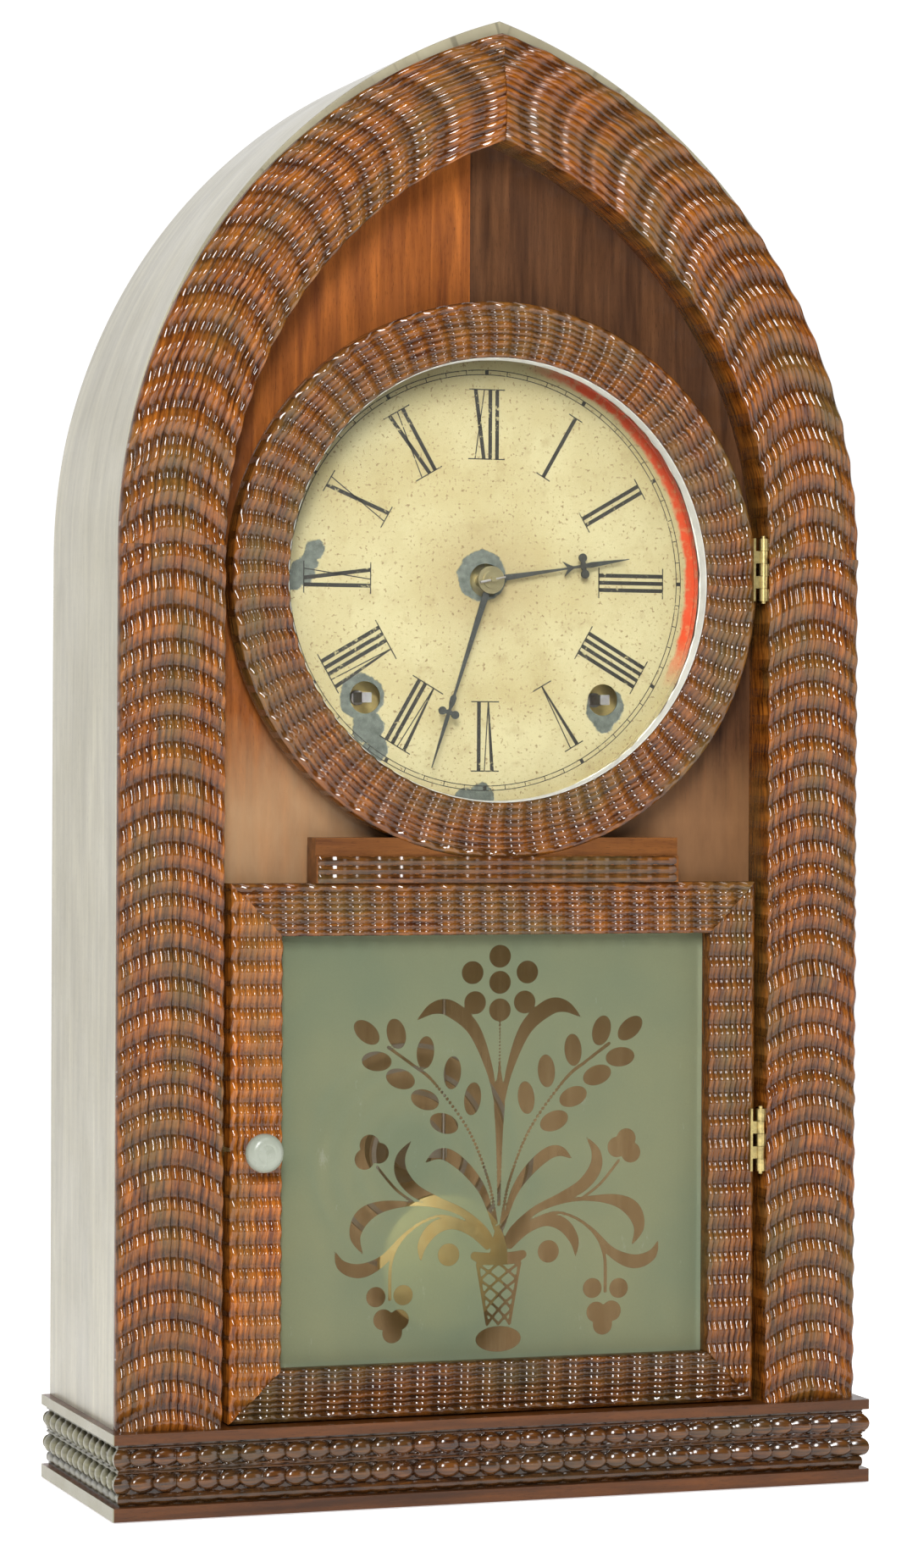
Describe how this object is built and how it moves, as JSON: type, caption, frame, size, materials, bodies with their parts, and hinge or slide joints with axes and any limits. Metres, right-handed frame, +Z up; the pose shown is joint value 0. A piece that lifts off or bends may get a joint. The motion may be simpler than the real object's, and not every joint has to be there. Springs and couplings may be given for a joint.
{
  "type": "mantel clock",
  "caption": "Spring-driven mantel clock in a pointed-arch case with rippled mouldings, a keyhole-shaped glazed door, a painted dial, a pendulum and a striking train.",
  "frame": {"origin": "on the surface the clock stands on, under the middle of the base", "axes": "+Z up, the dial faces -Y, +X to the right of someone reading the dial"},
  "size_m": [0.263, 0.0996, 0.4855],
  "materials": {
    "rippled_rosewood": "gloss",
    "case_veneer": "gloss",
    "panel_veneer": "gloss",
    "pine": "matte",
    "dial_paint": "satin",
    "clear_glass": "gloss",
    "etched_glass": "matte",
    "putty": "matte",
    "porcelain": "gloss",
    "hinge_brass": "satin",
    "wheel_brass": "satin",
    "steel": "satin",
    "cast_iron": "matte",
    "blued_steel": "satin"
  },
  "bodies": {
    "case": {"back_board": "pine", "base_back_rail": "pine", "base_bottom_slab": "case_veneer", "base_front_frieze": "rippled_rosewood", "base_left_frieze": "rippled_rosewood", "base_right_frieze": "rippled_rosewood", "base_top_slab": "case_veneer", "case_hinge_leaves": "hinge_brass", "dial": "dial_paint", "gong": "steel", "gong_post": "cast_iron", "left_case_side": "case_veneer", "left_panel": "panel_veneer", "lower_left_moulding": "rippled_rosewood", "lower_right_moulding": "rippled_rosewood", "mainsprings": "steel", "movement_back_plate": "wheel_brass", "movement_front_plate": "wheel_brass", "movement_pillars": "wheel_brass", "movement_rails": "pine", "movement_screws": "steel", "right_case_side": "case_veneer", "right_panel": "panel_veneer", "upper_left_moulding": "rippled_rosewood", "upper_right_moulding": "rippled_rosewood"},
    "door": {"door_ring": "rippled_rosewood", "door_neck": "panel_veneer", "door_top_rail": "rippled_rosewood", "door_bottom_rail": "rippled_rosewood", "door_left_stile": "rippled_rosewood", "door_right_stile": "rippled_rosewood", "bezel_glass": "clear_glass", "bezel_putty": "putty", "tablet_glass": "etched_glass", "tablet_bead": "putty", "door_hinge_leaves": "hinge_brass"},
    "latch": {"door_knob": "porcelain", "door_latch": "hinge_brass"},
    "centre": {"centre_arbor": "wheel_brass", "minute_hand": "blued_steel", "hand_collet": "hinge_brass", "taper_pin": "steel"},
    "hour": {"hour_wheel": "wheel_brass", "hour_hand": "blued_steel"},
    "minute_work": {"minute_wheel": "wheel_brass"},
    "time_winding": {"time_winding_arbor": "steel"},
    "strike_winding": {"strike_winding_arbor": "steel"},
    "time_great": {"time_great_wheel": "wheel_brass"},
    "time_second": {"time_second_wheel": "wheel_brass"},
    "time_third": {"time_third_wheel": "wheel_brass"},
    "escape": {"escape_wheel": "wheel_brass"},
    "verge_arm": {"verge": "steel"},
    "pendulum": {"pendulum_rod": "steel", "pendulum_bob": "wheel_brass"},
    "strike_great": {"strike_great_wheel": "wheel_brass"},
    "strike_second": {"strike_second_wheel": "wheel_brass"},
    "strike_third": {"strike_third_wheel": "wheel_brass"},
    "fly_vane": {"fly": "wheel_brass"},
    "count": {"count_wheel": "wheel_brass"},
    "hammer_arm": {"hammer": "steel"}
  },
  "joints": [
    {"name": "door_swing", "type": "hinge", "parent": "case", "child": "door", "pos_m": [0.09315, -0.0422, 0.2], "axis": [0, 0, 1], "range_deg": [0, 100]},
    {"name": "latch_turn", "type": "hinge", "parent": "door", "child": "latch", "pos_m": [-0.0823, -0.0306, 0.116], "axis": [0, -1, 0], "range_deg": [0, 90]},
    {"name": "minute_hand_turn", "type": "hinge", "parent": "case", "child": "centre", "pos_m": [0, 0, 0.302], "axis": [0, 1, 0], "continuous": true},
    {"name": "hour_hand_turn", "type": "hinge", "parent": "case", "child": "hour", "pos_m": [0, 0, 0.302], "axis": [0, 1, 0], "continuous": true},
    {"name": "minute_wheel_turn", "type": "hinge", "parent": "case", "child": "minute_work", "pos_m": [-0.01018, 0, 0.29182], "axis": [0, 1, 0], "continuous": true},
    {"name": "time_great_turn", "type": "hinge", "parent": "case", "child": "time_great", "pos_m": [0.0419, 0, 0.2628], "axis": [0, 1, 0], "continuous": true},
    {"name": "time_second_turn", "type": "hinge", "parent": "case", "child": "time_second", "pos_m": [0.01852, 0, 0.28922], "axis": [0, 1, 0], "continuous": true},
    {"name": "time_third_turn", "type": "hinge", "parent": "case", "child": "time_third", "pos_m": [0.01, 0, 0.31932], "axis": [0, 1, 0], "continuous": true},
    {"name": "escape_turn", "type": "hinge", "parent": "case", "child": "escape", "pos_m": [0, 0, 0.33347], "axis": [0, 1, 0], "continuous": true},
    {"name": "time_winding_turn", "type": "hinge", "parent": "case", "child": "time_winding", "pos_m": [0.0419, 0, 0.2628], "axis": [0, 1, 0], "continuous": true},
    {"name": "strike_winding_turn", "type": "hinge", "parent": "case", "child": "strike_winding", "pos_m": [-0.0419, 0, 0.2628], "axis": [0, 1, 0], "continuous": true},
    {"name": "strike_great_turn", "type": "hinge", "parent": "case", "child": "strike_great", "pos_m": [-0.0419, 0, 0.2628], "axis": [0, 1, 0], "continuous": true},
    {"name": "strike_second_turn", "type": "hinge", "parent": "case", "child": "strike_second", "pos_m": [-0.01852, 0, 0.28922], "axis": [0, 1, 0], "continuous": true},
    {"name": "strike_third_turn", "type": "hinge", "parent": "case", "child": "strike_third", "pos_m": [-0.03142, 0, 0.30765], "axis": [0, 1, 0], "continuous": true},
    {"name": "fly_turn", "type": "hinge", "parent": "case", "child": "fly_vane", "pos_m": [-0.02142, 0, 0.32497], "axis": [0, 1, 0], "continuous": true},
    {"name": "count_turn", "type": "hinge", "parent": "case", "child": "count", "pos_m": [-0.01852, 0, 0.28922], "axis": [0, 1, 0], "continuous": true},
    {"name": "pendulum_swing", "type": "hinge", "parent": "case", "child": "pendulum", "pos_m": [0, 0.0135, 0.352], "axis": [0, 1, 0], "range_deg": [-3, 3]},
    {"name": "verge_swing", "type": "hinge", "parent": "case", "child": "verge_arm", "pos_m": [0, 0, 0.352], "axis": [0, 1, 0], "range_deg": [-3, 3]},
    {"name": "hammer_swing", "type": "hinge", "parent": "case", "child": "hammer_arm", "pos_m": [-0.053, 0, 0.302], "axis": [0, 1, 0], "range_deg": [0, 5]}
  ],
  "couplings": [
    {"joint": "hour_hand_turn", "follows": "minute_hand_turn", "ratio": 0.083333},
    {"joint": "minute_wheel_turn", "follows": "minute_hand_turn", "ratio": -0.33333},
    {"joint": "time_second_turn", "follows": "minute_hand_turn", "ratio": -0.25},
    {"joint": "time_great_turn", "follows": "minute_hand_turn", "ratio": 0.041667},
    {"joint": "time_third_turn", "follows": "minute_hand_turn", "ratio": -9},
    {"joint": "escape_turn", "follows": "minute_hand_turn", "ratio": 90},
    {"joint": "verge_swing", "follows": "pendulum_swing", "ratio": 1},
    {"joint": "strike_second_turn", "follows": "strike_great_turn", "ratio": -6},
    {"joint": "strike_third_turn", "follows": "strike_great_turn", "ratio": 24},
    {"joint": "fly_turn", "follows": "strike_great_turn", "ratio": -216},
    {"joint": "count_turn", "follows": "strike_great_turn", "ratio": -0.26667}
  ]
}
